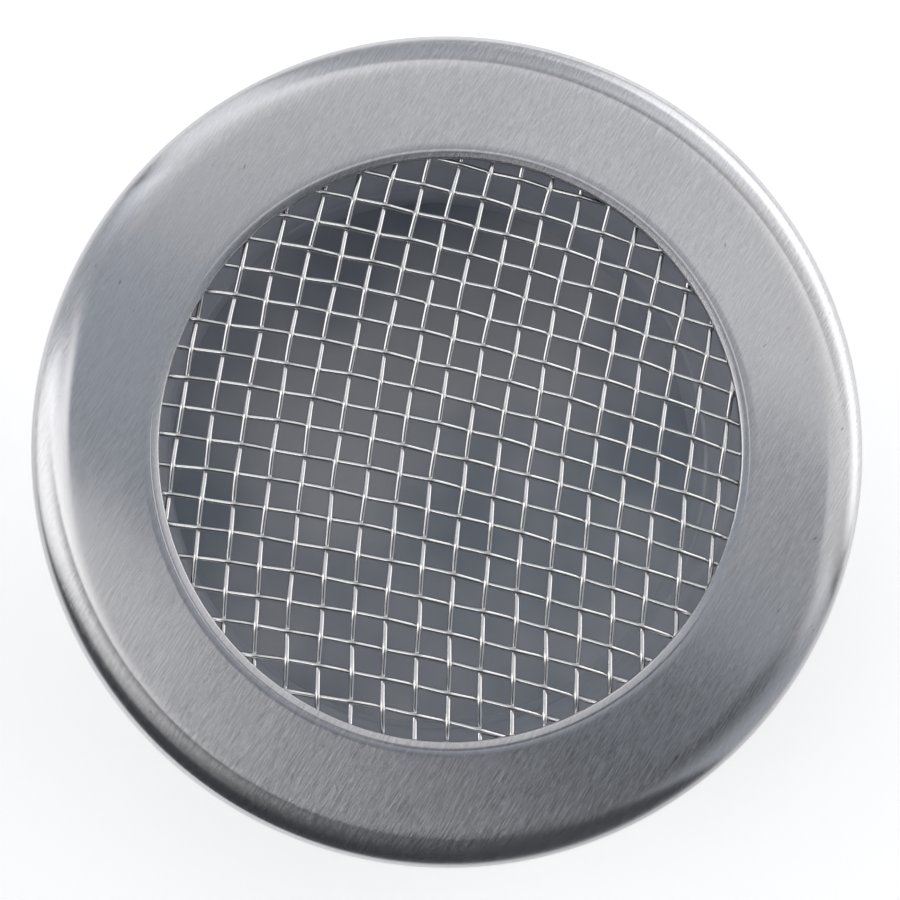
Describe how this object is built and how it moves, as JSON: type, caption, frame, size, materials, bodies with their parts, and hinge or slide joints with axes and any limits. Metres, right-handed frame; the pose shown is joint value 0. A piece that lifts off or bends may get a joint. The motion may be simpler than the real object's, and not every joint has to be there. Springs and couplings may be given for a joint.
{
  "type": "ceiling air diffuser",
  "caption": "Round brushed steel ceiling vent with a woven wire screen, duct spigot and sprung clips that grip the ceiling board",
  "frame": {"origin": "centre of the ceiling plane, where the back of the foam gasket lies, on the axis of the spigot", "axes": "+Z points out of the face, so on a ceiling it points down into the room; the spigot runs along -Z; X and Y lie in the ceiling plane"},
  "size_m": [0.137, 0.137, 0.058],
  "materials": {
    "brushed_face": "straight-line brushed stainless steel",
    "screen_wire": "bright drawn stainless wire",
    "rolled_sheet": "bright rolled stainless sheet",
    "foam": "closed-cell sealing foam",
    "pressed_steel": "pressed stainless sheet with rolled grain",
    "pin_steel": "turned bright steel",
    "spring_wire": "drawn spring wire",
    "pad_rubber": "matt black rubber"
  },
  "bodies": {
    "vent": {"face_ring": "brushed_face", "mesh_warp_wires": "screen_wire", "mesh_weft_wires": "screen_wire", "spigot_sleeve": "rolled_sheet", "ceiling_gasket": "foam", "clip_bracket_1": "pressed_steel", "clip_bracket_2": "pressed_steel", "clip_bracket_3": "pressed_steel", "clip_pin_1": "pin_steel", "clip_pin_2": "pin_steel", "clip_pin_3": "pin_steel", "clip_spring_1": "spring_wire", "clip_spring_2": "spring_wire", "clip_spring_3": "spring_wire"},
    "arm_1": {"clip_arm_1": "pressed_steel", "clip_pad_1": "pad_rubber"},
    "arm_2": {"clip_arm_2": "pressed_steel", "clip_pad_2": "pad_rubber"},
    "arm_3": {"clip_arm_3": "pressed_steel", "clip_pad_3": "pad_rubber"}
  },
  "joints": [
    {"name": "arm_1_hinge", "type": "hinge", "parent": "vent", "child": "arm_1", "pos_m": [-0.01398, 0.05216, -0.021], "axis": [-0.9659, -0.2588, 0], "range_deg": [0, 135], "stiffness_Nm_per_rad": 0.04, "springref_deg": -57.3, "deforming": ["clip_spring_1"]},
    {"name": "arm_2_hinge", "type": "hinge", "parent": "vent", "child": "arm_2", "pos_m": [-0.03818, -0.03818, -0.021], "axis": [0.7071, -0.7071, 0], "range_deg": [0, 135], "stiffness_Nm_per_rad": 0.04, "springref_deg": -57.3, "deforming": ["clip_spring_2"]},
    {"name": "arm_3_hinge", "type": "hinge", "parent": "vent", "child": "arm_3", "pos_m": [0.05216, -0.01398, -0.021], "axis": [0.2588, 0.9659, 0], "range_deg": [0, 135], "stiffness_Nm_per_rad": 0.04, "springref_deg": -57.3, "deforming": ["clip_spring_3"]}
  ]
}
